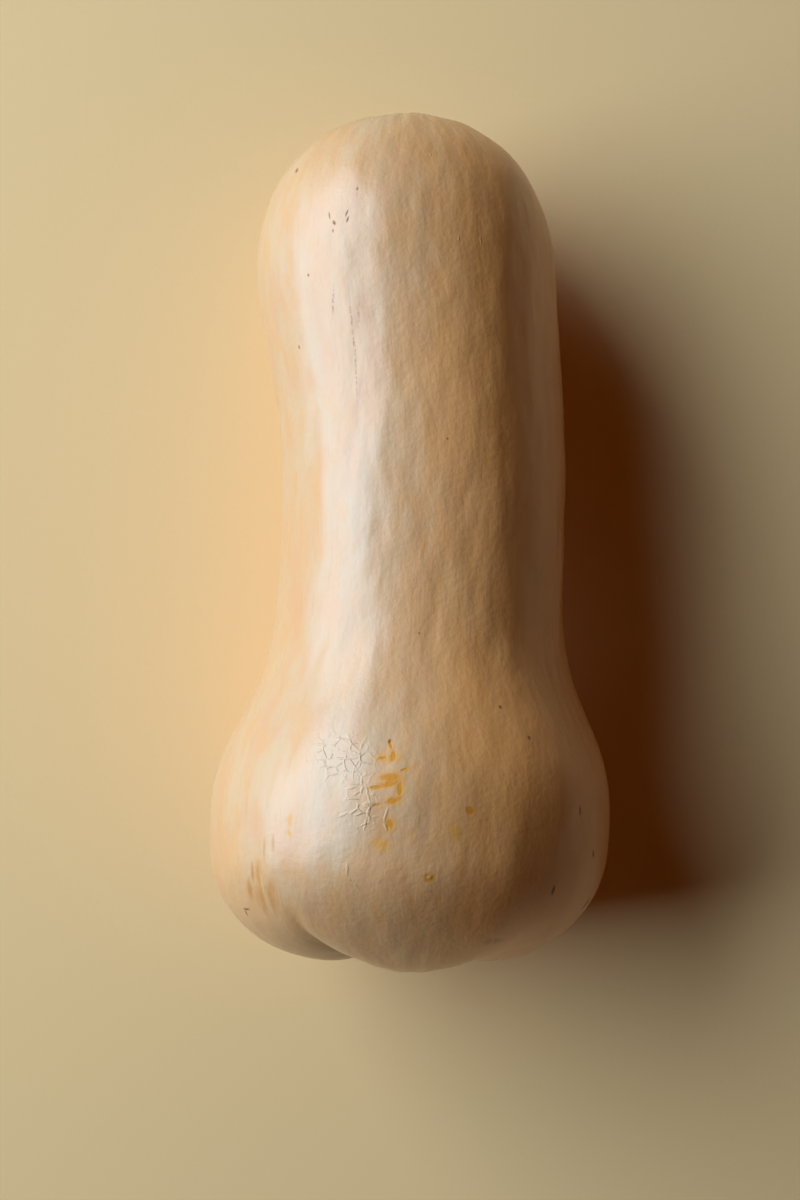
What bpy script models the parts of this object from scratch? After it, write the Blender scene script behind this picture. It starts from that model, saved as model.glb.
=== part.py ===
"""Butternut winter squash lying on its side, as one closed solid.

The squash is built along its own long axis, +Y, from the blossom end (bulb) to the stem end (neck).
Its skin is a profile turned round that axis, then bent, furrowed and dimpled by smooth formulas.
It is then laid down, so that it rests on one flat spot under the bulb and one under the neck.

World frame: +Z up, z = 0 is the surface it rests on, +Y towards the stem end.
"""

import bmesh
import bpy
import numpy as np

# Lengths are in metres and angles in degrees.

# Mesh density
COLUMNS = 72                # round the squash, one every 5 degrees, so each groove has its own column
RINGS = 50                  # from the blossom end to the stem end
END_CROWDING = 0.30         # how much closer the rings stand at the two ends

# Profile along the axis: s is the distance from the blossom end
LENGTH = 0.2475
BULB_RADIUS = 0.0567
BULB_AT = 0.0430            # where the bulb starts to narrow towards the neck
SHOULDER_SPAN = 0.0346
SHOULDER_POWER = 2.6
NECK_RADIUS = 0.0408
HEAD_SWELL = 0.0025         # extra radius where the neck fills out near the stem end
HEAD_AT = 0.2040
HEAD_SPAN = 0.0350
BLOSSOM_DOME = 0.0462       # length over which the blossom end rounds off
BLOSSOM_POWER = 2.75
STEM_DOME = 0.0500          # length over which the stem end rounds off
STEM_POWER = 2.5

# Sideways drift of the axis
BEND = 0.0045
BEND_AT = 0.1380
BEND_SPAN = 0.0700
HEAD_LEAN = 0.0023
HEAD_LEAN_SPAN = 0.0320

# Blossom end set low: its scar sits below the axis of the bulb
BLOSSOM_DROOP = 0.0080
BLOSSOM_DROOP_SPAN = 0.0350

# Grooves that part the blossom end into five lobes: angle from the top towards +X,
# depth of the sharp crease and depth of the broad valley beside it
DEEP_CLEFT = (-35.0, 0.0060, 0.0018)
SOFT_VALLEY = (40.0, 0.0006, 0.0030)
RIGHT_VALLEY = (110.0, 0.0010, 0.0022)
UNDER_VALLEY = (180.0, 0.0008, 0.0018)
LEFT_VALLEY = (-105.0, 0.0014, 0.0024)
GROOVES = (DEEP_CLEFT, SOFT_VALLEY, RIGHT_VALLEY, UNDER_VALLEY, LEFT_VALLEY)
CREASE_WIDTH = 0.0040
VALLEY_WIDTH = 0.0110
TOP_LOBE_PROUD = 0.0011     # how far the lobe between the first two grooves stands out past the rest
TOP_LOBE_EDGE = 10.0        # angle over which it steps down to its neighbours
GROOVE_RISE = 0.0160        # skin distance from the blossom scar at which a groove is fully deep
GROOVE_FULL = 0.0240        # skin distance at which it starts to fade
GROOVE_FADE = 0.0400        # skin distance over which it fades up the bulb

# Ends
DIMPLE_DEPTH = 0.0045       # hollow in the middle of the blossom end
DIMPLE_RADIUS = 0.0110
BLOSSOM_SCAR_RADIUS = 0.0050
BLOSSOM_SCAR_RISE = 0.0008
STEM_SCAR_RADIUS = 0.0100   # shallow seat left where the stem came away
STEM_SCAR_DEPTH = 0.0018
STEM_RIM_RISE = 0.0004
STEM_RIDGES = 5             # low ridges that run out of the stem scar
STEM_RIDGE_RISE = 0.00025
STEM_RIDGE_SPAN = 0.0300

# Lying down
TILT = 4.8                  # the neck's axis points this far below the horizontal
REST_FLAT_DEPTH = 0.0012    # how far each underside is flattened by its resting spot

# Surface
RIND_COLOUR = (0.72, 0.50, 0.28, 1.0)
RIND_ROUGHNESS = 0.45


def ease(x):
    """Smooth step from 0 to 1 as x goes from 0 to 1."""
    x = np.clip(x, 0.0, 1.0)
    return x * x * (3.0 - 2.0 * x)


def dome(distance, span, power):
    """Factor that rounds the radius off to 0 at an end: a quarter of a superellipse."""
    u = np.clip(1.0 - distance / span, 0.0, 1.0)
    return (1.0 - u ** power) ** (1.0 / power)


def profile_radius(s):
    """Radius of the plain turned shape at distance s from the blossom end."""
    past_bulb = np.maximum(s - BULB_AT, 0.0) / SHOULDER_SPAN
    bulb = np.exp(-past_bulb ** SHOULDER_POWER)
    head = HEAD_SWELL * np.exp(-((s - HEAD_AT) / HEAD_SPAN) ** 2)
    body = NECK_RADIUS + (BULB_RADIUS - NECK_RADIUS) * bulb + head
    blossom = dome(s, BLOSSOM_DOME, BLOSSOM_POWER)
    stem = dome(LENGTH - s, STEM_DOME, STEM_POWER)
    return body * blossom * stem


def axis_drift(s):
    """Sideways position of the axis at distance s from the blossom end."""
    bend = BEND * np.exp(-((s - BEND_AT) / BEND_SPAN) ** 2)
    lean = HEAD_LEAN * np.exp(-((s - HEAD_AT) / HEAD_LEAN_SPAN) ** 2)
    return bend - lean


def grooves(skin, radius, around):
    """Depth of the five grooves at a skin distance from the blossom scar."""
    near = ease(skin / GROOVE_RISE)
    far = 1.0 - ease((skin - GROOVE_FULL) / GROOVE_FADE)
    depth = np.zeros_like(skin)
    for angle, crease, valley in GROOVES:
        turn = (around - np.radians(angle) + np.pi) % (2.0 * np.pi) - np.pi
        across = radius * np.abs(turn)
        depth += crease * np.exp(-across / CREASE_WIDTH)
        depth += valley * np.exp(-(across / VALLEY_WIDTH) ** 2)
    edge = np.radians(TOP_LOBE_EDGE)
    past_cleft = ease((around - np.radians(DEEP_CLEFT[0])) / edge + 0.5)
    before_valley = ease((np.radians(SOFT_VALLEY[0]) - around) / edge + 0.5)
    depth += TOP_LOBE_PROUD * (1.0 - past_cleft * before_valley)
    return depth * near * far


def end_relief(radius, to_stem, around, stem_side):
    """Rise of the skin at the two ends: dimple and scar at one, scar and low ridges at the other."""
    dimple = -DIMPLE_DEPTH * np.exp(-(radius / DIMPLE_RADIUS) ** 2)
    button = BLOSSOM_SCAR_RISE * np.exp(-(radius / BLOSSOM_SCAR_RADIUS) ** 4)
    seat = -STEM_SCAR_DEPTH * (1.0 - ease((radius - 0.7 * STEM_SCAR_RADIUS) / (0.6 * STEM_SCAR_RADIUS)))
    rim = STEM_RIM_RISE * np.exp(-((radius - 1.35 * STEM_SCAR_RADIUS) / (0.4 * STEM_SCAR_RADIUS)) ** 2)
    ridges = STEM_RIDGE_RISE * np.cos(STEM_RIDGES * around)
    ridges = ridges * np.exp(-((to_stem - STEM_RIDGE_SPAN) / (0.5 * STEM_RIDGE_SPAN)) ** 2)
    return np.where(stem_side, seat + rim + ridges, dimple + button)


def skin_points(fraction, around):
    """Points on the skin, for a fraction of the way along it and an angle from the top towards +X."""
    along = np.linspace(0.0, np.pi, 4001)
    s_fine = 0.5 * LENGTH * (1.0 - np.cos(along))
    r_fine = profile_radius(s_fine)
    steps = np.hypot(np.diff(s_fine), np.diff(r_fine))
    skin_fine = np.concatenate(([0.0], np.cumsum(steps)))
    crowded = fraction - END_CROWDING * np.sin(2.0 * np.pi * fraction) / (2.0 * np.pi)
    skin = crowded * skin_fine[-1]
    s = np.interp(skin, skin_fine, s_fine)
    radius = np.interp(skin, skin_fine, r_fine)
    outward_r = np.interp(skin, skin_fine, np.gradient(s_fine, skin_fine))
    outward_s = np.interp(skin, skin_fine, -np.gradient(r_fine, skin_fine))
    to_stem = skin_fine[-1] - skin
    rise = end_relief(radius, to_stem, around, s > 0.5 * LENGTH) - grooves(skin, radius, around)
    radius = np.maximum(radius + outward_r * rise, 0.0)
    s = s + outward_s * rise
    droop = BLOSSOM_DROOP * (1.0 - ease(s / BLOSSOM_DROOP_SPAN))
    across = axis_drift(s) + radius * np.sin(around)
    return np.stack((across, s, radius * np.cos(around) - droop), axis=1)


def laid_down(points):
    """Tilt the squash neck down, flatten the two spots it rests on and centre it over the origin."""
    tilt = np.radians(TILT)
    x, y, z = points.T
    along = y * np.cos(tilt) + z * np.sin(tilt)
    up = z * np.cos(tilt) - y * np.sin(tilt)
    up = np.maximum(up - up.min() - REST_FLAT_DEPTH, 0.0)
    x = x - 0.5 * (x.max() + x.min())
    along = along - 0.5 * (along.max() + along.min())
    return np.stack((x, along, up), axis=1)


def rind_material():
    """Waxy tan rind."""
    material = bpy.data.materials.new("squash_rind")
    material.use_nodes = True
    shader = material.node_tree.nodes["Principled BSDF"]
    shader.inputs["Base Color"].default_value = RIND_COLOUR
    shader.inputs["Roughness"].default_value = RIND_ROUGHNESS
    material.diffuse_color = RIND_COLOUR
    return material


def build_squash(collection):
    """Shape a ball of rings and columns into the squash."""
    bm = bmesh.new()
    bmesh.ops.create_uvsphere(bm, u_segments=COLUMNS, v_segments=RINGS, radius=1.0)
    ball = np.array([vert.co[:] for vert in bm.verts], dtype=float)
    fraction = np.arccos(np.clip(-ball[:, 2], -1.0, 1.0)) / np.pi
    around = np.arctan2(ball[:, 1], ball[:, 0])
    points = laid_down(skin_points(fraction, around))
    for vert, point in zip(bm.verts, points):
        vert.co = point
    for face in bm.faces:
        face.smooth = True
    mesh = bpy.data.meshes.new("squash")
    bm.to_mesh(mesh)
    bm.free()
    mesh.materials.append(rind_material())
    squash = bpy.data.objects.new("squash", mesh)
    collection.objects.link(squash)
    return squash


def main():
    for old in list(bpy.data.objects):
        bpy.data.objects.remove(old, do_unlink=True)
    collection = bpy.data.collections.new("winter_squash")
    bpy.context.scene.collection.children.link(collection)
    build_squash(collection)


main()
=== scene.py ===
"""Butternut winter squash: fine skin, waxed rind, floor, light and camera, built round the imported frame.

The skin is one surface of two parameters: the distance along the skin from the blossom end, and the
angle round from the top towards +X.  It follows the frame's solid and adds the fine relief that the
solid is too coarse for.  Lengths are in metres and angles in degrees unless said.
"""

import bpy
import numpy as np
from bpy.props import FloatProperty, FloatVectorProperty, IntProperty, PointerProperty
from mathutils import Matrix, Vector


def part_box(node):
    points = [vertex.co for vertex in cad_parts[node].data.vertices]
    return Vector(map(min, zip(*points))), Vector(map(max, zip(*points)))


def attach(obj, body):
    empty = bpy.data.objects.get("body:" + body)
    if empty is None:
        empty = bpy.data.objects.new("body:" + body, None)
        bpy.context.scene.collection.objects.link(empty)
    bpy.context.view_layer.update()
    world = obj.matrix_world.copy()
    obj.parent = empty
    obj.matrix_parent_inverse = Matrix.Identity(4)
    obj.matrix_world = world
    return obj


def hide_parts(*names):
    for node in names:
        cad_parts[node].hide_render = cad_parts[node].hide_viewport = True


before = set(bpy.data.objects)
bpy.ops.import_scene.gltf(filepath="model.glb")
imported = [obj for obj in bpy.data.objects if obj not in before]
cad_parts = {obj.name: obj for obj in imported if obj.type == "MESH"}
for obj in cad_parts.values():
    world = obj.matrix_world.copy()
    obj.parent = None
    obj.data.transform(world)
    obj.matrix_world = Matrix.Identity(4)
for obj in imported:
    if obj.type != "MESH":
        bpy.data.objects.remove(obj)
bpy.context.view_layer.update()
SOLID_LOW, SOLID_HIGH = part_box("squash")

bl_info = {
    "name": "Butternut Squash",
    "version": (1, 0, 0),
    "blender": (4, 5, 0),
    "location": "View3D > Sidebar > Squash",
    "description": "Builds a butternut winter squash with its rind, and a plain stage to show it on",
    "category": "Add Mesh",
}

# Grids: the solid's own, and how much closer the rings of both stand at the two ends
SOLID_RINGS = 50
SOLID_COLUMNS = 72
END_CROWDING = 0.30
PROFILE_STATIONS = 4001     # places at which the profile is measured

# Profile along the axis
BULB_AT = 0.0430
SHOULDER_SPAN = 0.0346
SHOULDER_POWER = 2.6
HEAD_SWELL = 0.0025
HEAD_AT = 0.2040
HEAD_SPAN = 0.0350
BLOSSOM_DOME = 0.0462
BLOSSOM_POWER = 2.75
STEM_DOME = 0.0500
STEM_POWER = 2.5

# Sideways drift of the axis, and the low-set blossom end
BEND = 0.0045
BEND_AT = 0.1380
BEND_SPAN = 0.0700
HEAD_LEAN = 0.0023
HEAD_LEAN_SPAN = 0.0320
BLOSSOM_DROOP = 0.0080
BLOSSOM_DROOP_SPAN = 0.0350

# Grooves of the blossom end: angle, crease depth, valley depth
DEEP_CLEFT = (-35.0, 0.0060, 0.0018)
SOFT_VALLEY = (40.0, 0.0006, 0.0030)
GROOVES = (
    DEEP_CLEFT,
    SOFT_VALLEY,
    (110.0, 0.0010, 0.0022),
    (180.0, 0.0008, 0.0018),
    (-105.0, 0.0014, 0.0024),
)
CREASE_WIDTH = 0.0040
VALLEY_WIDTH = 0.0110
TOP_LOBE_PROUD = 0.0011
TOP_LOBE_EDGE = 10.0
GROOVE_RISE = 0.0160
GROOVE_FULL = 0.0240
GROOVE_FADE = 0.0400

# Ends
DIMPLE_DEPTH = 0.0045
DIMPLE_RADIUS = 0.0110
BLOSSOM_SCAR_RADIUS = 0.0050
BLOSSOM_SCAR_RISE = 0.0008
STEM_SCAR_RADIUS = 0.0100
STEM_SCAR_DEPTH = 0.0018
STEM_RIM_RISE = 0.0004
STEM_PLUG_RISE = 0.0010     # woody middle of the stem scar
STEM_LOBES = 5              # the stem was five-sided, so its scar is too

# Stem scar, in its own radii: start and width of the seat's wall, middle and spread of the rim,
# start and width of the plug's wall
SEAT_WALL = (0.70, 0.50)
RIM_BELL = (1.35, 0.40)
PLUG_WALL = (0.30, 0.25)
SEAT_CORNERS = 0.06         # how far its corners stand out
SEAT_OVAL = (0.03, 1.0)     # how far it is drawn out into an oval, and which way, in radians
PLUG_RIBS = (0.35, 0.3)     # the ribs' share of the plug's height, and the radius where they are full

# Lengthwise ribs: crest as (skin distance, angle), then height, reach to its left and to its right
RIBS = (
    (((0.086, 45.0), (0.105, 42.0), (0.123, 38.0), (0.140, 32.0), (0.159, 30.0), (0.186, 29.0),
      (0.214, 31.5), (0.242, 35.0), (0.276, 48.0)), 0.0018, 0.020, 0.018),
    (((0.050, 26.0), (0.085, 29.0)), 0.0005, 0.006, 0.006),
    (((0.105, -64.0), (0.275, -60.0)), 0.0005, 0.018, 0.016),
    (((0.070, 95.0), (0.265, 90.0)), 0.0008, 0.020, 0.020),
    (((0.090, 150.0), (0.250, 146.0)), 0.0008, 0.018, 0.018),
    (((0.070, -138.0), (0.275, -132.0)), 0.0009, 0.020, 0.018),
    (((0.060, -88.0), (0.125, -96.0)), 0.0006, 0.012, 0.012),
)
RIB_END = 0.026             # skin distance over which a rib rises from and sinks back into the skin
RIB_ROUND = 0.0022          # half width of the rounded crest
RIB_FOOT = 0.15             # how softly the slopes run out into the skin

# Uneven relief: size across, size along, height, seed
BROAD_LUMPS = (0.034, 0.055, 0.0007, 3)
LONG_DENTS = (0.0085, 0.021, 0.00030, 11)
SMALL_DENTS = (0.0042, 0.0085, 0.00015, 23)
CORK_LUMPS = (0.0026, 0.0026, 0.00035, 41)
CORK_LUMPS_FADE = 0.3       # distance from the stem end where they start to fade, in scar radii
RELIEF_FADE = 0.018         # skin distance over which ribs, lumps and dents fade out at each end

# Noise: whole numbers that scramble a cell's place and the seed, and a gain that fills -1 to 1
CELL_MIX = (73856093, 19349663, 83492791)
SEED_MIX = 2654435
STEP_FACTOR = 1103515245
STEP_OFFSET = 12345
NOISE_GAIN = 1.4

FLOW_RADIUS = 0.045         # radius of the cylinder that the flow coordinates are wrapped on

# Patterns that follow the skin: millimetres across and along it, detail and roughness of the noise
GRAIN = {
    "patches": (24.0, 50.0, 2.0, 0.50),
    "mottle": (5.0, 12.0, 3.0, 0.55),
    "blush": (8.0, 15.0, 2.0, 0.50),
    "streaks": (2.4, 22.0, 2.0, 0.50),
    "threads": (0.9, 9.0, 2.0, 0.60),
    "ripple": (2.3, 7.0, 2.0, 0.50),
}

# Patterns that are the same in every direction: millimetres, detail and roughness of the noise
CRUMB = {
    "peel": (1.7, 2.0, 0.50),
    "pores": (0.6, 2.0, 0.50),
    "cork": (0.8, 4.0, 0.65),
    "ragged": (2.4, 3.0, 0.50),
}

# Tints laid over the palest rind: pattern, value where it starts, value where it is full, cover, colour
TINTS = (
    ("patches", 0.40, 0.62, 0.55, "rind_tan"),
    ("mottle", 0.44, 0.64, 0.55, "rind_tan"),
    ("blush", 0.48, 0.68, 0.45, "rind_blush"),
    ("streaks", 0.54, 0.72, 0.35, "rind_pale"),
    ("threads", 0.56, 0.76, 0.25, "rind_thread"),
)
# Painted shade: the rind darkens with the depth of each groove, where shade falls
GROOVE_PAINTED_SHADE = (0.0015, 0.0070, 0.55, "groove_painted_shade")      # the same for the depth of a groove
# Painted light: a warm orange tint that grows towards +X, the side away from the key light, standing in for
# warm bounce light on the shaded side
PAINTED_BOUNCE_TINT = (-0.016, 0.030, 0.75, "rind_painted_bounce")            # and for the place along X

# Fine height of the rind in metres for each pattern
HEIGHTS = (
    ("peel", 0.00012),
    ("ripple", 0.00014),
    ("pores", 0.000016),
    ("threads", 0.000020),
)
PEEL_FINISH = 0.10          # swing of the roughness over the peel

# Marks: strokes as (angle, millimetres along the skin) for both ends and width in millimetres.
# Each kind has its colour, cover, inner and outer edge in half widths, pattern that breaks it up
# with the values where it starts and is full, rise in metres and added roughness.
MARKS = (
    ("field_spot", 0.75, 0.25, 1.05, "streaks", 0.30, 0.55, 0.0, 0.04, (
        (178.0, 66.0, 178.0, 92.0, 52.0),
        (176.0, 205.0, 177.0, 235.0, 26.0),
    )),
    ("stain", 0.75, 0.4, 2.0, "streaks", 0.30, 0.50, 0.0, 0.05, (
        (-42.0, 80.7, -42.8, 72.0, 0.8),
        (-39.0, 81.4, -39.0, 75.6, 0.8),
        (-45.0, 73.4, -45.0, 66.5, 2.4),
        (-50.3, 69.0, -51.8, 62.5, 1.4),
        (-40.5, 68.5, -39.7, 65.3, 2.4),
        (-39.0, 67.5, -39.7, 61.2, 1.4),
        (-45.8, 62.5, -47.3, 58.5, 1.4),
        (-48.0, 73.8, -48.7, 67.4, 0.9),
        (-44.0, 66.0, -44.5, 60.5, 5.0),
        (24.0, 51.2, 32.2, 49.9, 2.0),
    )),
    ("ochre", 0.80, 0.5, 2.2, "mottle", 0.20, 0.38, 0.0, 0.10, (
        (-11.3, 93.3, -3.0, 95.3, 1.6),
        (-7.5, 95.7, -3.7, 96.0, 3.0),
        (-3.0, 96.7, -3.0, 90.0, 1.6),
        (-6.0, 90.0, -3.0, 90.7, 1.8),
        (-9.8, 101.1, -3.7, 101.4, 2.2),
        (-6.8, 105.9, -5.3, 100.7, 1.1),
        (-5.3, 85.5, -5.3, 82.9, 1.9),
        (-8.2, 79.5, -6.8, 78.9, 2.2),
        (-2.3, 98.0, -0.8, 98.7, 1.0),
        (-33.0, 87.4, -33.8, 82.6, 0.9),
        (-33.8, 82.6, -33.0, 80.1, 0.8),
        (11.2, 83.8, 12.2, 80.8, 1.6),
    )),
    ("ochre_deep", 0.95, 0.8, 2.2, "ragged", 0.26, 0.40, -0.00006, 0.16, (
        (-11.3, 93.3, -7.5, 93.7, 0.7),
        (-7.5, 94.0, -3.7, 95.3, 1.1),
        (-10.5, 88.7, -7.5, 89.4, 0.5),
        (-6.0, 89.7, -3.0, 90.7, 0.9),
        (-7.5, 96.0, -3.7, 96.3, 1.2),
        (-5.3, 102.8, -5.3, 100.7, 0.8),
        (-9.0, 101.1, -7.5, 101.4, 0.5),
        (-6.8, 106.2, -6.0, 103.8, 0.4),
        (-3.0, 97.7, -1.5, 98.4, 0.4),
        (-5.3, 84.9, -5.3, 83.6, 1.0),
        (-3.0, 95.0, -3.0, 91.4, 0.7),
        (15.2, 88.0, 15.6, 87.4, 1.1),
        (5.3, 70.9, 5.3, 70.8, 1.5),
    )),
    ("scab", 0.75, 0.50, 1.90, "ragged", 0.22, 0.36, 0.0, 0.16, (
        (-29.3, 252.3, -28.4, 250.0, 0.4),
        (-27.0, 249.2, -26.4, 248.3, 0.7),
        (-21.0, 252.2, -22.3, 249.9, 0.5),
        (-21.0, 249.9, -21.7, 248.4, 0.5),
        (-27.4, 246.9, -27.2, 246.2, 0.5),
        (-53.8, 269.8, -52.6, 268.9, 1.0),
        (-18.0, 258.3, -18.0, 257.7, 0.5),
        (-39.7, 235.8, -39.7, 235.5, 0.5),
        (-49.5, 217.0, -49.4, 216.6, 0.6),
        (9.0, 188.9, 9.0, 188.5, 0.4),
        (0.0, 136.6, 0.0, 136.2, 0.4),
        (-6.8, 106.2, -6.8, 105.4, 0.6),
        (27.0, 115.6, 27.1, 115.1, 0.6),
        (34.5, 106.4, 34.6, 106.0, 0.6),
        (51.7, 88.4, 52.5, 84.9, 0.6),
        (62.2, 75.8, 63.0, 73.6, 0.7),
        (44.2, 67.4, 44.2, 64.5, 0.7),
        (72.0, 61.3, 69.7, 58.0, 1.6),
        (-59.3, 59.1, -54.8, 59.4, 0.6),
        (-58.5, 58.8, -58.5, 57.0, 0.7),
        (-148.0, 120.0, -147.0, 116.5, 0.7),
        (-96.0, 182.0, -95.6, 180.8, 0.7),
        (128.0, 96.0, 128.6, 92.0, 0.7),
        (104.0, 232.0, 105.5, 230.5, 0.6),
    )),
    ("scab", 0.50, 0.50, 2.20, "pores", 0.42, 0.56, 0.0, 0.10, (
        (-22.8, 236.0, -25.6, 192.0, 0.45),
        (-19.5, 227.4, -21.7, 218.5, 0.45),
        (-28.5, 233.5, -32.0, 221.5, 0.50),
    )),
    ("rind_pale", 0.50, 0.40, 1.50, "ragged", 0.28, 0.40, 0.00010, -0.05, (
        (-12.0, 94.0, -10.5, 89.1, 0.5),
        (-10.5, 89.1, -11.3, 85.8, 0.5),
        (-11.3, 85.8, -12.0, 82.6, 0.5),
        (-13.5, 95.3, -12.7, 92.7, 0.4),
        (-18.8, 86.1, -16.5, 87.1, 0.7),
        (-6.0, 88.7, -6.8, 84.5, 0.5),
        (-6.8, 84.5, -6.0, 82.6, 0.5),
        (-16.5, 74.8, -16.5, 70.9, 0.5),
        (-16.5, 70.9, -13.5, 67.7, 0.5),
        (-15.0, 91.7, -13.5, 92.7, 0.5),
        (-24.0, 106.9, -18.0, 105.5, 0.6),
        (-18.0, 105.5, -15.0, 103.1, 0.6),
        (-15.0, 103.1, -13.5, 107.3, 0.6),
        (-15.0, 103.1, -14.3, 101.1, 0.6),
        (-14.3, 101.1, -15.8, 99.0, 0.5),
        (-15.8, 99.0, -15.8, 95.3, 0.4),
        (18.7, 243.7, 18.7, 242.5, 0.5),
        (27.0, 244.3, 27.0, 242.5, 0.6),
        (10.5, 269.0, 10.7, 268.6, 0.5),
        (5.3, 71.0, 5.3, 70.9, 0.9),
    )),
)
STROKE_DEPTH = 4.0          # half the depth of a stroke through the skin, in millimetres
SHAKE_SCALE = 450.0         # noise that shakes the strokes, and how far it moves them
SHAKE = 0.0005

# Net of fine wrinkles where the skin has crackled: (angle, millimetres) and width of each patch
CRACKLED = (
    (-25.0, 103.0, -17.0, 100.0, 16.0),
    (-14.0, 95.0, -12.0, 84.0, 8.0),
)
CRACKLE_MESH = 2.7          # distance between wrinkles in millimetres
CRACKLE_RISE = 0.00018      # height of a wrinkle
CRACKLE_LINE = (0.02, 0.12)     # distance from a wrinkle's middle, in meshes, where it sinks and is gone
CRACKLE_REACH = 1.1         # outer edge of a patch in half widths
CRACKLE_FULL = 0.7          # how deep inside a patch, from 0 to 1, the net is full
CRACKLE_BREAK = (0.38, 0.58)    # ragged pattern: where the net starts and is full

# Cork of the two scars
CORK_RAGGED = 0.006         # how far the ragged pattern moves the edge
BLOSSOM_CORK = (0.0075, 0.0100)     # moved skin distance where the cork starts to end, and has ended
STEM_CORK = (0.0115, 0.0145)
CORK_TONES = (0.38, 0.62)   # cork pattern: where the dark tone ends and the pale one is full
CORK_RISE = 0.0009
CORK_DULL = 0.45            # added roughness

# Wax: roughness above the sound rind's where it starts to go and is gone, and its weight there
WAX_EDGES = (0.05, 0.17)
WAX_WEIGHTS = (0.82, 0.1)

FADE = {"interpolation_type": "SMOOTHSTEP", "clamp": False}     # settings of a Map Range as a smooth step

# Stage
CARD_TOOTH = 900.0          # scale of the floor's unevenness, and how dark it gets
CARD_SHADE = 0.97
FLOOR_HALF_SIDE = 6.0
FLOOR_DROP = 0.0002         # gap under the squash
KEY_TINT = (0.63, 0.81, 0.99)
SKY_TINT = (1.0, 0.38, 0.06, 1.0)
CAMERA_PLACE = (-0.00266, -0.01778)


def linear(hex_colour):
    """Scene-linear colour of an sRGB hex code."""
    parts = [int(hex_colour[i:i + 2], 16) / 255.0 for i in (1, 3, 5)]
    return [c / 12.92 if c <= 0.04045 else ((c + 0.055) / 1.055) ** 2.4 for c in parts]


def ease(x):
    """Smooth step: 3x^2 - 2x^3, with x held between 0 and 1."""
    x = np.clip(x, 0.0, 1.0)
    return x * x * (3.0 - 2.0 * x)


def dome(distance, span, power):
    """Quarter of a superellipse: the radius factor that rounds an end off to 0."""
    u = np.clip(1.0 - distance / span, 0.0, 1.0)
    return (1.0 - u ** power) ** (1.0 / power)


def hashed_gradients(cell, seed):
    """Three numbers between -1 and 1 for each whole-number cell, scrambled from its position."""
    mixed = seed * SEED_MIX
    for axis, factor in enumerate(CELL_MIX):
        mixed = mixed ^ (cell[..., axis] * factor)
    parts = []
    for step in (1, 2, 3):
        mixed = (mixed * STEP_FACTOR + STEP_OFFSET * step) & 0x7FFFFFFF
        mixed = mixed ^ (mixed >> 13)
        parts.append((mixed & 0xFFFF) / 32767.5 - 1.0)
    return np.stack(parts, axis=-1)


def lattice_noise(points, seed):
    """Gradient noise, about -1 to 1: each cell corner gives a sloping plane, and the eight are blended."""
    base = np.floor(points).astype(np.int64)
    part = points - base
    blend = part ** 3 * (part * (part * 6.0 - 15.0) + 10.0)
    total = np.zeros(points.shape[:-1])
    for corner in np.ndindex(2, 2, 2):
        offset = np.array(corner)
        weight = np.prod(np.where(offset, blend, 1.0 - blend), axis=-1)
        slope = hashed_gradients(base + offset, seed)
        total += weight * np.sum(slope * (part - offset), axis=-1)
    return NOISE_GAIN * total


def profile_radius(s, sizes):
    """Radius at distance s: neck, plus a bulb that falls off as exp(-x^p), plus a bell for the head."""
    past_bulb = np.maximum(s - BULB_AT, 0.0) / SHOULDER_SPAN
    bulb = np.exp(-past_bulb ** SHOULDER_POWER)
    head = HEAD_SWELL * np.exp(-((s - HEAD_AT) / HEAD_SPAN) ** 2)
    body = sizes.neck_radius + (sizes.bulb_radius - sizes.neck_radius) * bulb + head
    return body * dome(s, BLOSSOM_DOME, BLOSSOM_POWER) * dome(sizes.length - s, STEM_DOME, STEM_POWER)


def axis_drift(s):
    """Sideways place of the axis at distance s: a wide bell to the right less a short one at the head."""
    bend = BEND * np.exp(-((s - BEND_AT) / BEND_SPAN) ** 2)
    return bend - HEAD_LEAN * np.exp(-((s - HEAD_AT) / HEAD_LEAN_SPAN) ** 2)


def turn_between(around, angle):
    """Signed angle in radians from a direction given in degrees, wrapped to half a turn each way."""
    return (around - np.radians(angle) + np.pi) % (2.0 * np.pi) - np.pi


def groove_depth(skin, radius, around):
    """Depth of the five grooves: a pointed crease in a bell-shaped valley, fading in and out along each."""
    near = ease(skin / GROOVE_RISE)
    far = 1.0 - ease((skin - GROOVE_FULL) / GROOVE_FADE)
    depth = np.zeros_like(skin)
    for angle, crease, valley in GROOVES:
        across = radius * np.abs(turn_between(around, angle))
        depth += crease * np.exp(-across / CREASE_WIDTH)
        depth += valley * np.exp(-(across / VALLEY_WIDTH) ** 2)
    edge = np.radians(TOP_LOBE_EDGE)
    past_cleft = ease((around - np.radians(DEEP_CLEFT[0])) / edge + 0.5)
    before_valley = ease((np.radians(SOFT_VALLEY[0]) - around) / edge + 0.5)
    depth += TOP_LOBE_PROUD * (1.0 - past_cleft * before_valley)
    return depth * near * far


def blossom_relief(radius):
    """Rise at the blossom end: a bell-shaped dimple with a flat-topped button in its middle."""
    dimple = -DIMPLE_DEPTH * np.exp(-(radius / DIMPLE_RADIUS) ** 2)
    return dimple + BLOSSOM_SCAR_RISE * np.exp(-(radius / BLOSSOM_SCAR_RADIUS) ** 4)


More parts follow.
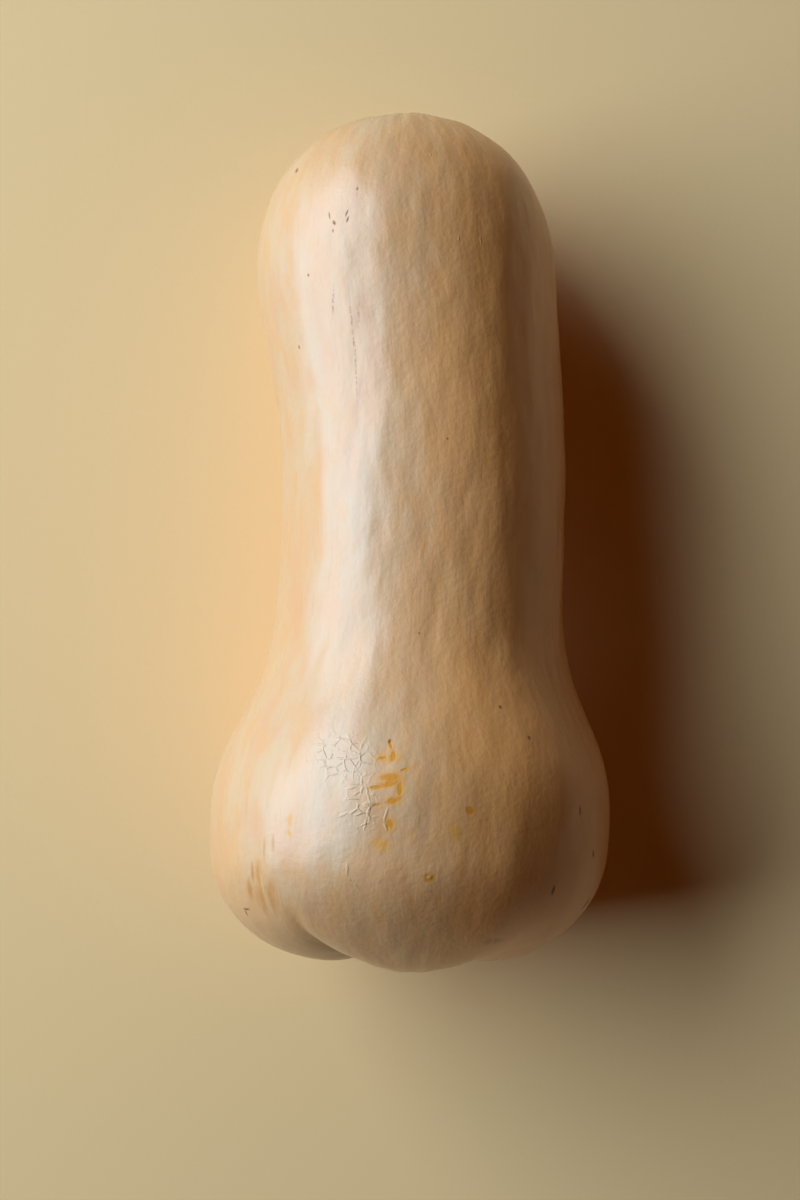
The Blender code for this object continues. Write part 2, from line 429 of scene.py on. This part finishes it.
def stem_relief(radius, around):
    """Rise at the stem end: a five-cornered seat with a rim, and a ribbed woody plug in its middle."""
    oval, oval_turn = SEAT_OVAL
    corners = 1.0 + SEAT_CORNERS * np.cos(STEM_LOBES * around) + oval * np.cos(2.0 * around + oval_turn)
    u = radius / (STEM_SCAR_RADIUS * corners)
    seat = -STEM_SCAR_DEPTH * (1.0 - ease((u - SEAT_WALL[0]) / SEAT_WALL[1]))
    rim = STEM_RIM_RISE * np.exp(-((u - RIM_BELL[0]) / RIM_BELL[1]) ** 2)
    rib_share, rib_full = PLUG_RIBS
    ribs = 1.0 + rib_share * np.cos(2.0 * STEM_LOBES * around) * ease(u / rib_full)
    plug = STEM_PLUG_RISE * ribs * (1.0 - ease((u - PLUG_WALL[0]) / PLUG_WALL[1]))
    return seat + rim + plug


def rib_rise(skin, radius, around):
    """Height of the lengthwise ribs: across each, two straight slopes that meet in a rounded crest."""
    rise = np.zeros_like(skin)
    for crest, height, left, right in RIBS:
        at, angles = np.transpose(crest)
        across = radius * turn_between(around, np.interp(skin, at, angles))
        slope = (np.hypot(across, RIB_ROUND) - RIB_ROUND) / np.where(across < 0.0, left, right)
        above = 1.0 - slope
        above = 0.5 * (above + np.hypot(above, RIB_FOOT))
        length = ease((skin - at[0]) / RIB_END + 0.5) * ease((at[-1] - skin) / RIB_END + 0.5)
        rise += height * length * above
    return rise


def flow_coordinates(skin, around):
    """Place on a cylinder unrolled from the skin: angle round it, skin distance along it."""
    return np.stack((FLOW_RADIUS * np.sin(around), FLOW_RADIUS * np.cos(around), skin), axis=-1)


def fine_relief(skin, radius, around, total_skin):
    """Ribs, broad lumps and lengthwise dents, and lumpy cork in the stem scar: stretched noise, summed."""
    rise = rib_rise(skin, radius, around)
    flow = flow_coordinates(skin, around)
    for across, along, height, seed in (BROAD_LUMPS, LONG_DENTS, SMALL_DENTS):
        rise += height * lattice_noise(flow / np.array((across, across, along)), seed)
    rise *= ease(skin / RELIEF_FADE) * ease((total_skin - skin) / RELIEF_FADE)
    size_across, size_along, height, seed = CORK_LUMPS
    place = np.stack((radius * np.sin(around), radius * np.cos(around), skin), axis=-1)
    cork = height * lattice_noise(place / np.array((size_across, size_across, size_along)), seed)
    return rise + cork * (1.0 - ease((total_skin - skin) / STEM_SCAR_RADIUS - CORK_LUMPS_FADE))


def measured_profile(sizes):
    """Stations along the profile: distance s, radius, skin distance, and the outward direction there."""
    along = np.linspace(0.0, np.pi, PROFILE_STATIONS)
    s = 0.5 * sizes.length * (1.0 - np.cos(along))
    radius = profile_radius(s, sizes)
    skin = np.concatenate(([0.0], np.cumsum(np.hypot(np.diff(s), np.diff(radius)))))
    return s, radius, skin, np.gradient(s, skin), -np.gradient(radius, skin)


def skin_points(skin, around, sizes, relief):
    """Points of the skin: the profile turned round the axis, moved out along its own normal by the relief."""
    s_at, radius_at, skin_at, out_r_at, out_s_at = measured_profile(sizes)
    s = np.interp(skin, skin_at, s_at)
    radius = np.interp(skin, skin_at, radius_at)
    rise = np.where(s > 0.5 * sizes.length, stem_relief(radius, around), blossom_relief(radius))
    rise = rise - groove_depth(skin, radius, around)
    rise += relief * fine_relief(skin, radius, around, skin_at[-1])
    out_radius = np.maximum(radius + np.interp(skin, skin_at, out_r_at) * rise, 0.0)
    out_s = s + np.interp(skin, skin_at, out_s_at) * rise
    droop = BLOSSOM_DROOP * (1.0 - ease(out_s / BLOSSOM_DROOP_SPAN))
    across = axis_drift(out_s) + out_radius * np.sin(around)
    return np.stack((across, out_s, out_radius * np.cos(around) - droop), axis=-1)


def tilted(points, sizes):
    """Turn about X, so that the neck points a little down."""
    tilt = np.radians(sizes.tilt)
    x, y, z = np.moveaxis(points, -1, 0)
    return np.stack((x, y * np.cos(tilt) + z * np.sin(tilt), z * np.cos(tilt) - y * np.sin(tilt)), axis=-1)


def skin_grid(rings, columns, total_skin):
    """Skin distance and angle round for each point between the poles, with rings closer at both ends."""
    fraction = np.arange(1, rings) / rings
    crowded = fraction - END_CROWDING * np.sin(2.0 * np.pi * fraction) / (2.0 * np.pi)
    around = 2.0 * np.pi * np.arange(columns) / columns - np.pi
    return np.meshgrid(crowded * total_skin, around, indexing="ij")


def resting_shift(sizes):
    """Move that lays the plain shape on the floor and sets it in the middle of the solid's box."""
    total = measured_profile(sizes)[2][-1]
    skin, around = skin_grid(SOLID_RINGS, SOLID_COLUMNS, total)
    plain = tilted(skin_points(skin, around, sizes, 0.0), sizes).reshape(-1, 3)
    low, high = plain.min(axis=0), plain.max(axis=0)
    middle = 0.5 * (np.array(SOLID_LOW) + np.array(SOLID_HIGH)) - 0.5 * (low + high)
    return np.array((middle[0], middle[1], SOLID_LOW[2] - low[2] - sizes.rest_flat))


def placed(skin, around, sizes, relief):
    """Skin points laid down, with what would be below the floor pressed flat on it."""
    points = tilted(skin_points(skin, around, sizes, relief), sizes) + resting_shift(sizes)
    points[..., 2] = np.maximum(points[..., 2], SOLID_LOW[2])
    return points


def grid_faces(rings, columns):
    """Quads between rings and fans at the two poles, all turned outwards."""
    ring = np.arange(rings - 2)[:, None] * columns + 1
    here = np.arange(columns)
    after = (here + 1) % columns
    quads = np.stack((ring + here, ring + after, ring + columns + after, ring + columns + here), axis=-1)
    last = (rings - 1) * columns + 1
    start_fan = np.stack((np.zeros_like(here), 1 + after, 1 + here), axis=-1)
    end_ring = last - columns
    end_fan = np.stack((np.full_like(here, last), end_ring + here, end_ring + after), axis=-1)
    return quads.reshape(-1, 4), start_fan, end_fan


def unrolled_map(rings, columns):
    """Cylinder map per face corner, in the order of the faces: angle round across, skin distance up."""
    row = np.arange(1, rings - 1)[:, None] / rings
    here = np.arange(columns) / columns
    after = here + 1.0 / columns
    step = 1.0 / rings
    low, high = row + 0.0 * here, row + step + 0.0 * here
    left, right = here + 0.0 * row, after + 0.0 * row
    quad = np.stack((left, low, right, low, right, high, left, high), axis=-1).reshape(-1, 2)
    middle = 0.5 * (here + after)
    first, final = np.full_like(here, step), np.full_like(here, 1.0 - step)
    start = np.stack((middle, 0.0 * here, after, first, here, first), axis=-1).reshape(-1, 2)
    end = np.stack((middle, 0.0 * here + 1.0, here, final, after, final), axis=-1).reshape(-1, 2)
    return np.concatenate((quad, start, end))


def add_node(tree, kind, inputs=None, **settings):
    """Add a node, set its settings, then give each input a value or a link."""
    node = tree.nodes.new(kind)
    for name, value in settings.items():
        setattr(node, name, value)
    for name, value in (inputs or {}).items():
        socket = node.inputs[name]
        if isinstance(value, bpy.types.NodeSocket):
            tree.links.new(value, socket)
        else:
            socket.default_value = value
    return node


def grain_patterns(tree, flow, body):
    """Every noise pattern of the rind by name, each with its grain as many millimetres as its table says."""
    rows = [(name, flow, (across, across, along), detail, rough)
            for name, (across, along, detail, rough) in GRAIN.items()]
    rows += [(name, body, (size, size, size), detail, rough) for name, (size, detail, rough) in CRUMB.items()]
    patterns = {}
    for name, place, size, detail, rough in rows:
        scale = tuple(1000.0 / millimetres for millimetres in size)
        scaled = add_node(tree, "ShaderNodeMapping", {"Vector": place, "Scale": scale}).outputs[0]
        values = {"Vector": scaled, "Scale": 1.0, "Detail": detail, "Roughness": rough}
        patterns[name] = add_node(tree, "ShaderNodeTexNoise", values).outputs[0]
    return patterns


def stroke_cover(tree, place, strokes, reach):
    """How deep a place in millimetres is inside the strokes: 1 in the middle of one, 0 at its edge.

    Each stroke is an ellipsoid, reach times as wide as its table says.  The place is moved, turned and
    scaled into its own axes, where a ball of radius 1 fades from its middle outwards.
    """
    cover = None
    for angle_a, along_a, angle_b, along_b, width in strokes:
        ends = flow_coordinates(np.array((along_a, along_b)) / 1000.0, np.radians((angle_a, angle_b)))
        middle, run = 1000.0 * ends.mean(axis=0), 1000.0 * (ends[1] - ends[0])
        outward = np.array((middle[0], middle[1], 0.0)) / np.hypot(middle[0], middle[1])
        along = run - outward * np.dot(run, outward)
        along = along / np.linalg.norm(along)
        turn = Matrix((along, np.cross(outward, along), outward)).transposed().to_euler()
        half = (0.5 * (np.linalg.norm(run) + reach * width), 0.5 * reach * width, STROKE_DEPTH)
        values = {"Vector": place, "Location": middle, "Rotation": turn, "Scale": half}
        own = add_node(tree, "ShaderNodeMapping", values, vector_type="TEXTURE").outputs[0]
        ball = add_node(tree, "ShaderNodeTexGradient", {"Vector": own}, gradient_type="SPHERICAL").outputs[1]
        if cover is None:
            cover = ball
        else:
            cover = add_node(tree, "ShaderNodeMath", {0: cover, 1: ball}, operation="MAXIMUM").outputs[0]
    return cover


def rind_material(sizes, colours):
    """Waxed butternut rind, grown: buff skin mottled with tan along its length, satin from its own wax.

    The wax gives a broad whitish sheen, the mottle is a few millimetres wide and longer than wide, and
    old scrapes have healed to ochre and brown cork.
    """
    material = bpy.data.materials.new("waxed_butternut_rind")
    material.use_nodes = True
    tree = material.node_tree
    tree.nodes.clear()
    flow = add_node(tree, "ShaderNodeAttribute", attribute_name="flow").outputs["Vector"]
    groove = add_node(tree, "ShaderNodeAttribute", attribute_name="groove").outputs["Fac"]
    body = add_node(tree, "ShaderNodeTexCoord").outputs["Object"]
    patterns = grain_patterns(tree, flow, body)

    def colour(name):
        return (*getattr(colours, name), 1.0)

    # Sound rind: tints over the palest skin, with painted shade deeper in the grooves and painted warm bounce
    # light on the side away from the key light
    rind = colour("rind_pale")
    tints = [(patterns[name], start, end, cover, tint) for name, start, end, cover, tint in TINTS]
    # Painted shade: the rind is darkened by the depth of each groove
    tints.append((groove, *GROOVE_PAINTED_SHADE))
    # Painted warm bounce light: the rind turns warmer orange towards +X, the side away from the key light
    across = add_node(tree, "ShaderNodeSeparateXYZ", {0: body}).outputs[0]
    tints.append((across, *PAINTED_BOUNCE_TINT))
    for value, start, end, cover, tint in tints:
        values = {0: value, 1: start, 2: end, 3: 0.0, 4: cover}
        mask = add_node(tree, "ShaderNodeMapRange", values, **FADE).outputs[0]
        values = {0: mask, 6: rind, 7: colour(tint)}
        rind = add_node(tree, "ShaderNodeMix", values, data_type="RGBA").outputs[2]

    # Fine height and roughness of the sound rind
    height = 0.0
    for name, metres in HEIGHTS:
        values = {0: patterns[name], 1: metres, 2: height}
        height = add_node(tree, "ShaderNodeMath", values, operation="MULTIPLY_ADD").outputs[0]
    values = {0: patterns["peel"], 1: PEEL_FINISH, 2: sizes.roughness - 0.5 * PEEL_FINISH}
    finish = add_node(tree, "ShaderNodeMath", values, operation="MULTIPLY_ADD").outputs[0]

    # Marks, as strokes laid on the skin, whose place is shaken a little so that they wander
    values = {"Vector": flow, "Scale": SHAKE_SCALE, "Detail": 2.0}
    shake = add_node(tree, "ShaderNodeTexNoise", values).outputs["Color"]
    values = {"Vector": shake, "Location": (-0.5 * SHAKE,) * 3, "Scale": (SHAKE,) * 3}
    shake = add_node(tree, "ShaderNodeMapping", values).outputs[0]
    place = add_node(tree, "ShaderNodeVectorMath", {0: flow, 1: shake}, operation="ADD").outputs["Vector"]
    place = add_node(tree, "ShaderNodeMapping", {"Vector": place, "Scale": (1000.0,) * 3}).outputs[0]
    for tint, cover, inner, outer, breaker, low, high, rise, dull, strokes in MARKS:
        values = {0: stroke_cover(tree, place, strokes, outer), 1: 0.0, 2: 1.0 - inner / outer}
        mask = add_node(tree, "ShaderNodeMapRange", values, **FADE).outputs[0]
        values = {0: patterns[breaker], 1: low, 2: high}
        broken = add_node(tree, "ShaderNodeMapRange", values, **FADE).outputs[0]
        mask = add_node(tree, "ShaderNodeMath", {0: mask, 1: broken}, operation="MULTIPLY").outputs[0]
        amount = add_node(tree, "ShaderNodeMath", {0: mask, 1: cover}, operation="MULTIPLY").outputs[0]
        values = {0: amount, 6: rind, 7: colour(tint)}
        rind = add_node(tree, "ShaderNodeMix", values, data_type="RGBA").outputs[2]
        values = {0: mask, 1: dull, 2: finish}
        finish = add_node(tree, "ShaderNodeMath", values, operation="MULTIPLY_ADD").outputs[0]
        if rise:
            values = {0: mask, 1: rise, 2: height}
            height = add_node(tree, "ShaderNodeMath", values, operation="MULTIPLY_ADD").outputs[0]

    # Net of raised wrinkles inside the crackled patches
    scaled = add_node(tree, "ShaderNodeMapping", {"Vector": place, "Scale": (1.0 / CRACKLE_MESH,) * 3})
    values = {"Vector": scaled.outputs[0], "Scale": 1.0}
    net = add_node(tree, "ShaderNodeTexVoronoi", values, feature="DISTANCE_TO_EDGE").outputs["Distance"]
    values = {0: net, 1: CRACKLE_LINE[0], 2: CRACKLE_LINE[1], 3: 1.0, 4: 0.0}
    net = add_node(tree, "ShaderNodeMapRange", values, **FADE).outputs[0]
    values = {0: stroke_cover(tree, place, CRACKLED, CRACKLE_REACH), 1: 0.0, 2: CRACKLE_FULL}
    patch = add_node(tree, "ShaderNodeMapRange", values, **FADE).outputs[0]
    net = add_node(tree, "ShaderNodeMath", {0: net, 1: patch}, operation="MULTIPLY").outputs[0]
    values = {0: patterns["ragged"], 1: CRACKLE_BREAK[0], 2: CRACKLE_BREAK[1]}
    broken = add_node(tree, "ShaderNodeMapRange", values, **FADE).outputs[0]
    net = add_node(tree, "ShaderNodeMath", {0: net, 1: broken}, operation="MULTIPLY").outputs[0]
    values = {0: net, 6: rind, 7: colour("rind_pale")}
    rind = add_node(tree, "ShaderNodeMix", values, data_type="RGBA").outputs[2]
    values = {0: net, 1: CRACKLE_RISE, 2: height}
    height = add_node(tree, "ShaderNodeMath", values, operation="MULTIPLY_ADD").outputs[0]

    # Corky scars at the two ends
    along = add_node(tree, "ShaderNodeSeparateXYZ", {0: flow}).outputs[2]
    values = {0: patterns["ragged"], 1: CORK_RAGGED, 2: along}
    from_blossom = add_node(tree, "ShaderNodeMath", values, operation="MULTIPLY_ADD").outputs[0]
    total = measured_profile(sizes)[2][-1]
    values = {0: total + CORK_RAGGED, 1: from_blossom}
    from_stem = add_node(tree, "ShaderNodeMath", values, operation="SUBTRACT").outputs[0]
    values = {0: from_blossom, 1: BLOSSOM_CORK[0], 2: BLOSSOM_CORK[1], 3: 1.0, 4: 0.0}
    blossom_scar = add_node(tree, "ShaderNodeMapRange", values, **FADE).outputs[0]
    values = {0: from_stem, 1: STEM_CORK[0], 2: STEM_CORK[1], 3: 1.0, 4: 0.0}
    stem_scar = add_node(tree, "ShaderNodeMapRange", values, **FADE).outputs[0]
    values = {0: blossom_scar, 1: stem_scar}
    cork = add_node(tree, "ShaderNodeMath", values, operation="MAXIMUM").outputs[0]
    values = {0: patterns["cork"], 1: CORK_TONES[0], 2: CORK_TONES[1]}
    tone = add_node(tree, "ShaderNodeMapRange", values, **FADE).outputs[0]
    values = {0: tone, 6: colour("cork_dark"), 7: colour("cork_pale")}
    cork_colour = add_node(tree, "ShaderNodeMix", values, data_type="RGBA").outputs[2]
    values = {0: cork, 6: rind, 7: cork_colour}
    base = add_node(tree, "ShaderNodeMix", values, data_type="RGBA").outputs[2]
    values = {0: patterns["cork"], 1: cork}
    rough_cork = add_node(tree, "ShaderNodeMath", values, operation="MULTIPLY").outputs[0]
    values = {0: rough_cork, 1: CORK_RISE, 2: height}
    height = add_node(tree, "ShaderNodeMath", values, operation="MULTIPLY_ADD").outputs[0]
    values = {0: cork, 1: CORK_DULL, 2: finish}
    finish = add_node(tree, "ShaderNodeMath", values, operation="MULTIPLY_ADD").outputs[0]

    # Scabs and cork have no wax on them
    start, end = (sizes.roughness + edge for edge in WAX_EDGES)
    values = {0: finish, 1: start, 2: end, 3: WAX_WEIGHTS[0], 4: WAX_WEIGHTS[1]}
    wax = add_node(tree, "ShaderNodeMapRange", values, **FADE).outputs[0]
    bump = add_node(tree, "ShaderNodeBump", {"Strength": 1.0, "Distance": 1.0, "Height": height})
    values = {
        "Base Color": base,
        "Roughness": finish,
        "Normal": bump.outputs["Normal"],
        "IOR": 1.45,
        "Coat Weight": wax,
        "Coat IOR": 1.5,
        "Coat Roughness": 0.32,
    }
    shader = add_node(tree, "ShaderNodeBsdfPrincipled", values)
    add_node(tree, "ShaderNodeOutputMaterial", {"Surface": shader.outputs["BSDF"]})
    return material


def floor_material(colours):
    """Matt pale card: one even tone with a faint unevenness."""
    material = bpy.data.materials.new("matt_pale_card")
    material.use_nodes = True
    tree = material.node_tree
    shader = tree.nodes["Principled BSDF"]
    body = add_node(tree, "ShaderNodeTexCoord").outputs["Object"]
    tooth = add_node(tree, "ShaderNodeTexNoise", {"Vector": body, "Scale": CARD_TOOTH, "Detail": 2.0})
    pale = (*colours.floor, 1.0)
    deeper = (*(c * CARD_SHADE for c in colours.floor), 1.0)
    values = {0: tooth.outputs[0], 6: pale, 7: deeper}
    tone = add_node(tree, "ShaderNodeMix", values, data_type="RGBA").outputs[2]
    tree.links.new(tone, shader.inputs["Base Color"])
    shader.inputs["Roughness"].default_value = 0.9
    return material


class SquashSizes(bpy.types.PropertyGroup):
    """Sizes of the squash and of its fine skin."""
    length: FloatProperty(
        name="Length", description="Length along its own axis", default=0.2475, subtype="DISTANCE")
    bulb_radius: FloatProperty(
        name="Bulb Radius", description="Radius of the bulb", default=0.0567, subtype="DISTANCE")
    neck_radius: FloatProperty(
        name="Neck Radius", description="Radius of the neck's waist", default=0.0408, subtype="DISTANCE")
    tilt: FloatProperty(
        name="Tilt", description="How far the neck points down, in degrees", default=4.8)
    rest_flat: FloatProperty(
        name="Rest Flat", description="Depth by which its own weight flattens it", default=0.0012,
        subtype="DISTANCE")
    relief: FloatProperty(
        name="Relief", description="Amount of ribs, lumps and dents", default=1.0, subtype="FACTOR")
    roughness: FloatProperty(
        name="Roughness", description="Roughness of the waxed rind", default=0.45, subtype="FACTOR")
    rings: IntProperty(name="Rings", description="Rings from end to end", default=306)
    columns: IntProperty(name="Columns", description="Columns round it", default=320)


class SquashColours(bpy.types.PropertyGroup):
    """Colours of the rind, its marks and the floor."""
    rind_pale: FloatVectorProperty(
        name="Pale Rind", description="Palest skin", default=linear("#D8AE83"), subtype="COLOR")
    rind_tan: FloatVectorProperty(
        name="Tan Rind", description="Deeper skin", default=linear("#E0A266"), subtype="COLOR")
    rind_blush: FloatVectorProperty(
        name="Blush", description="Pinkish blotches", default=linear("#DDA074"), subtype="COLOR")
    # Painted warm bounce light on the shaded side, away from the key light
    rind_painted_bounce: FloatVectorProperty(
        name="Painted Bounce Side", description="Painted warm bounce light on the side away from the key light",
        default=linear("#FAA552"), subtype="COLOR")
    rind_thread: FloatVectorProperty(
        name="Threads", description="Thin lines along the skin", default=linear("#C59264"), subtype="COLOR")
    # Painted shade in the grooves
    groove_painted_shade: FloatVectorProperty(
        name="Groove", description="Painted shade deep in a groove", default=linear("#96602E"), subtype="COLOR")
    ochre: FloatVectorProperty(
        name="Ochre", description="Rubbed patch", default=linear("#E8A040"), subtype="COLOR")
    ochre_deep: FloatVectorProperty(
        name="Deep Ochre", description="Scraped lines", default=linear("#DC8A1C"), subtype="COLOR")
    stain: FloatVectorProperty(
        name="Stain", description="Streaky stain beside the cleft", default=linear("#C27C34"),
        subtype="COLOR")
    field_spot: FloatVectorProperty(
        name="Field Spot", description="Pale patch it grew on", default=linear("#E8D09A"), subtype="COLOR")
    scab: FloatVectorProperty(
        name="Scab", description="Dark specks and nicks", default=linear("#7A3A12"), subtype="COLOR")
    cork_pale: FloatVectorProperty(
        name="Pale Cork", description="Lighter cork of the scars", default=linear("#B79B73"), subtype="COLOR")
    cork_dark: FloatVectorProperty(
        name="Dark Cork", description="Darker cork of the scars", default=linear("#6E5233"), subtype="COLOR")
    floor: FloatVectorProperty(
        name="Floor", description="Pale floor", default=linear("#FFD496"), subtype="COLOR")


class SquashStage(bpy.types.PropertyGroup):
    """Light and camera."""
    key_power: FloatProperty(
        name="Key Power", description="Power of the tall soft light on the left", default=45.0,
        subtype="POWER")
    key_place: FloatVectorProperty(
        name="Key Place", description="Middle of the soft light", default=(-1.0, 0.40, 0.87),
        subtype="XYZ", unit="LENGTH")
    key_width: FloatProperty(
        name="Key Width", description="Width of the soft light", default=1.6, subtype="DISTANCE")
    key_height: FloatProperty(
        name="Key Height", description="Height of the soft light", default=1.50, subtype="DISTANCE")
    sky: FloatProperty(name="Sky", description="Strength of the even light all round", default=0.036)
    camera_height: FloatProperty(
        name="Camera Height", description="Height of the camera over the floor", default=0.5341,
        subtype="DISTANCE")
    lens: FloatProperty(name="Lens", description="Focal length in millimetres", default=50.0)


class SQUASH_OT_skin(bpy.types.Operator):
    """Build the fine skin over the solid and give it its rind"""
    bl_idname = "squash.build_skin"
    bl_label = "Build Skin"

    def execute(self, context):
        sizes = context.scene.squash_sizes
        _, radius_at, skin_at, _, _ = measured_profile(sizes)
        total = skin_at[-1]
        skin, around = skin_grid(sizes.rings, sizes.columns, total)
        ends = placed(np.array([0.0, total]), np.zeros(2), sizes, sizes.relief)
        points = placed(skin, around, sizes, sizes.relief).reshape(-1, 3)
        points = np.concatenate((ends[:1], points, ends[1:]))
        quads, start_fan, end_fan = grid_faces(sizes.rings, sizes.columns)
        mesh = bpy.data.meshes.new("squash_skin")
        mesh.from_pydata(points.tolist(), [], quads.tolist() + start_fan.tolist() + end_fan.tolist())
        mesh.update()
        if mesh.validate():
            raise RuntimeError("the skin's mesh needed repair")
        mesh.shade_smooth()
        layer = mesh.uv_layers.new(name="OFBake")
        layer.uv.foreach_set("vector", unrolled_map(sizes.rings, sizes.columns).ravel().astype(np.float32))
        flow = flow_coordinates(skin, around).reshape(-1, 3)
        flow = np.concatenate(([[0.0, 0.0, 0.0]], flow, [[0.0, 0.0, total]]))
        attribute = mesh.attributes.new("flow", "FLOAT_VECTOR", "POINT")
        attribute.data.foreach_set("vector", flow.ravel().astype(np.float32))
        radius = np.interp(skin, skin_at, radius_at)
        depth = groove_depth(skin, radius, around).ravel()
        depth = np.concatenate(([0.0], depth, [0.0]))
        attribute = mesh.attributes.new("groove", "FLOAT", "POINT")
        attribute.data.foreach_set("value", depth.astype(np.float32))
        mesh.materials.append(rind_material(sizes, context.scene.squash_colours))
        piece = bpy.data.objects.new("squash_skin", mesh)
        context.scene.collection.objects.link(piece)
        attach(piece, "root")
        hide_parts("squash")
        return {"FINISHED"}


class SQUASH_OT_stage(bpy.types.Operator):
    """Lay the floor, hang the soft light and set the camera overhead"""
    bl_idname = "squash.build_stage"
    bl_label = "Build Stage"

    def execute(self, context):
        scene = context.scene
        stage = scene.squash_stage
        side = FLOOR_HALF_SIDE
        corners = [(-side, -side), (side, -side), (side, side), (-side, side)]
        mesh = bpy.data.meshes.new("floor")
        mesh.from_pydata([(x, y, -FLOOR_DROP) for x, y in corners], [], [(0, 1, 2, 3)])
        mesh.materials.append(floor_material(scene.squash_colours))
        floor = bpy.data.objects.new("floor", mesh)
        scene.collection.objects.link(floor)

        lamp = bpy.data.lights.new("key", "AREA")
        lamp.shape = "RECTANGLE"
        lamp.size, lamp.size_y = stage.key_width, stage.key_height
        lamp.energy = stage.key_power
        lamp.color = KEY_TINT
        key = bpy.data.objects.new("key", lamp)
        key.location = stage.key_place
        towards = Vector((-key.location.x, -key.location.y, 0.0))
        key.rotation_euler = towards.to_track_quat("-Z", "Y").to_euler()
        key.visible_camera = False
        scene.collection.objects.link(key)

        world = bpy.data.worlds.new("pale_sky")
        world.use_nodes = True
        sky = world.node_tree.nodes["Background"]
        sky.inputs["Color"].default_value = SKY_TINT
        sky.inputs["Strength"].default_value = stage.sky
        scene.world = world
        scene.view_settings.view_transform = "Standard"

        eye = bpy.data.cameras.new("overhead")
        eye.lens = stage.lens
        eye.sensor_width = 36.0
        camera = bpy.data.objects.new("overhead", eye)
        camera.location = (*CAMERA_PLACE, stage.camera_height)
        scene.collection.objects.link(camera)
        scene.camera = camera
        return {"FINISHED"}


class SQUASH_PT_panel(bpy.types.Panel):
    """Sidebar panel with the sizes, the colours and the build buttons"""
    bl_label = "Butternut Squash"
    bl_idname = "SQUASH_PT_panel"
    bl_space_type = "VIEW_3D"
    bl_region_type = "UI"
    bl_category = "Squash"

    def draw(self, context):
        for group in (context.scene.squash_sizes, context.scene.squash_colours, context.scene.squash_stage):
            box = self.layout.box()
            for name in group.bl_rna.properties.keys():
                if name not in {"rna_type", "name"}:
                    box.prop(group, name)
        self.layout.operator(SQUASH_OT_skin.bl_idname)
        self.layout.operator(SQUASH_OT_stage.bl_idname)


CLASSES = (SquashSizes, SquashColours, SquashStage, SQUASH_OT_skin, SQUASH_OT_stage, SQUASH_PT_panel)


def register():
    """Register the classes and hang the settings on the scene."""
    for cls in CLASSES:
        bpy.utils.register_class(cls)
    bpy.types.Scene.squash_sizes = PointerProperty(type=SquashSizes)
    bpy.types.Scene.squash_colours = PointerProperty(type=SquashColours)
    bpy.types.Scene.squash_stage = PointerProperty(type=SquashStage)


def unregister():
    """Take the settings and the classes away again."""
    del bpy.types.Scene.squash_stage
    del bpy.types.Scene.squash_colours
    del bpy.types.Scene.squash_sizes
    for cls in reversed(CLASSES):
        bpy.utils.unregister_class(cls)


def main():
    """Build everything in order: register, then the skin, then the stage."""
    register()
    bpy.ops.squash.build_skin()
    bpy.ops.squash.build_stage()


if __name__ == "__main__":
    main()
